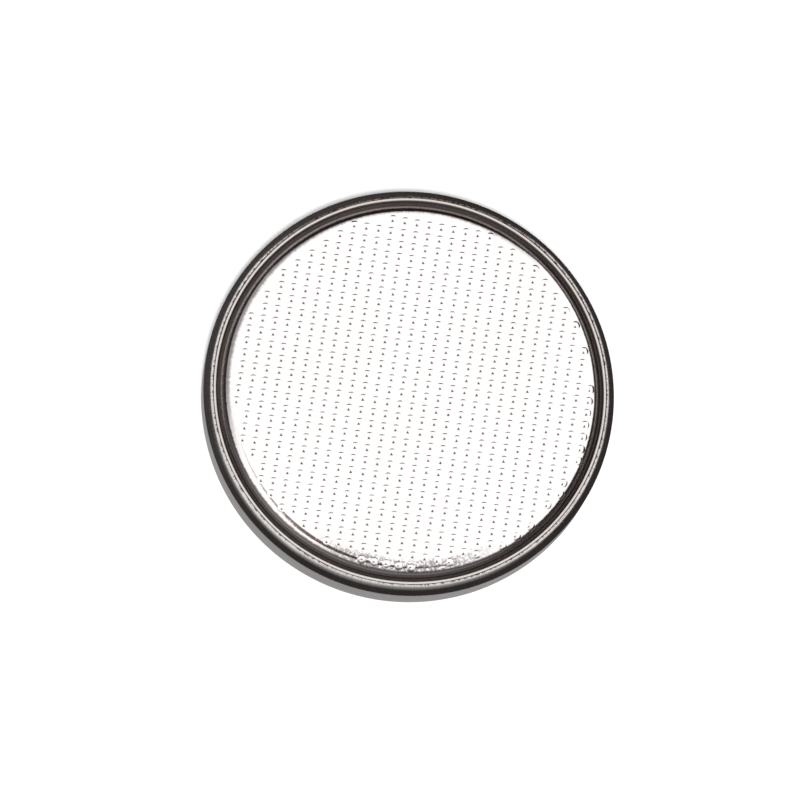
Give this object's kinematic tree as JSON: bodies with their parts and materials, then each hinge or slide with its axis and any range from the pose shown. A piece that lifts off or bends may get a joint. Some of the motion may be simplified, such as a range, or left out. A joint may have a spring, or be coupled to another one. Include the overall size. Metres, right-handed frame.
{
  "type": "lithium coin cell",
  "caption": "Flat round lithium coin cell: crimped steel can, sealing ring, and a steel cap with a raised dot pattern; supplies three volts from its two faces.",
  "frame": {"origin": "centre of the flat positive face, which the cell rests on", "axes": "+Z along the cell's axis, from the positive face to the negative cap; X and Y lie in the positive face"},
  "size_m": [0.02, 0.02, 0.0032],
  "materials": {
    "can_steel": "fine brushed stainless steel",
    "cap_steel": "bright rolled stainless steel",
    "gasket_plastic": "natural polypropylene",
    "lithium_metal": "dull soft metal",
    "separator_felt": "white non-woven felt",
    "cathode_mix": "pressed black powder",
    "ring_steel": "plain stainless steel"
  },
  "bodies": {
    "root": {"positive_can": "can_steel", "gasket": "gasket_plastic", "negative_cap": "cap_steel", "lithium_anode": "lithium_metal", "separator": "separator_felt", "cathode_pellet": "cathode_mix", "cathode_ring": "ring_steel"}
  },
  "joints": []
}
